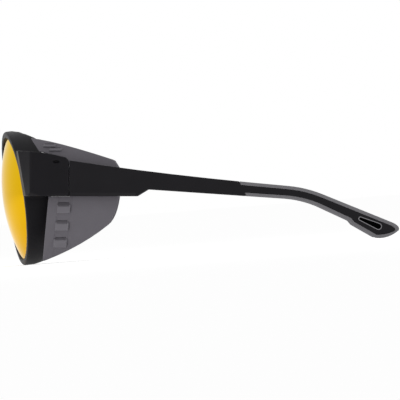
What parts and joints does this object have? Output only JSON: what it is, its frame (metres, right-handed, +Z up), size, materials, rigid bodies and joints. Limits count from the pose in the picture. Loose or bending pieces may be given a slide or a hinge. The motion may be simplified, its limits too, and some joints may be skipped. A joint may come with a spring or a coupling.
{
  "type": "glacier glasses",
  "caption": "Round mirrored glacier glasses: wrapped plastic front, vented side shields, rubber sleeved folding temples, and nose pads.",
  "frame": {"origin": "on the table, under the middle of the glasses' box, as they stand on the rims and the temple tips with the temples open", "axes": "+X to the wearer's left, +Y from the lenses back to the temple tips, +Z up"},
  "size_m": [0.148, 0.1578, 0.0543],
  "materials": {
    "frame": "satin black moulded nylon",
    "temple": "satin black moulded nylon",
    "lens": "gold mirror coating on a dark lens",
    "shield": "matte grey flexible plastic",
    "sleeve": "matte grey moulded rubber",
    "nose_pad": "matte black rubber",
    "hinge": "stamped and barrel polished",
    "screw": "turned and slotted"
  },
  "bodies": {
    "front": {"front_frame": "frame", "left_lens": "lens", "left_nose_pad": "nose_pad", "left_front_leaf": "hinge", "left_front_leaf_screws": "screw", "left_hinge_screw": "screw", "right_lens": "lens", "right_nose_pad": "nose_pad", "right_front_leaf": "hinge", "right_front_leaf_screws": "screw", "right_hinge_screw": "screw"},
    "left_temple_body": {"left_temple": "temple", "left_temple_sleeve": "sleeve", "left_temple_leaf": "hinge", "left_temple_leaf_screws": "screw"},
    "left_shield_body": {"left_shield": "shield"},
    "right_temple_body": {"right_temple": "temple", "right_temple_sleeve": "sleeve", "right_temple_leaf": "hinge", "right_temple_leaf_screws": "screw"},
    "right_shield_body": {"right_shield": "shield"}
  },
  "joints": [
    {"name": "left_temple_fold", "type": "hinge", "parent": "front", "child": "left_temple_body", "pos_m": [0.0678, -0.05126, 0.03351], "axis": [0, 0.0774, 0.997], "range_deg": [0, 91.7]},
    {"name": "right_temple_fold", "type": "hinge", "parent": "front", "child": "right_temple_body", "pos_m": [-0.0678, -0.05126, 0.03351], "axis": [0, -0.0774, -0.997], "range_deg": [0, 82]},
    {"name": "left_shield_slide", "type": "slide", "parent": "left_temple_body", "child": "left_shield_body", "axis": [0, 0.997, -0.0774], "range_m": [0, 0.014]},
    {"name": "right_shield_slide", "type": "slide", "parent": "right_temple_body", "child": "right_shield_body", "axis": [0, 0.997, -0.0774], "range_m": [0, 0.014]}
  ]
}
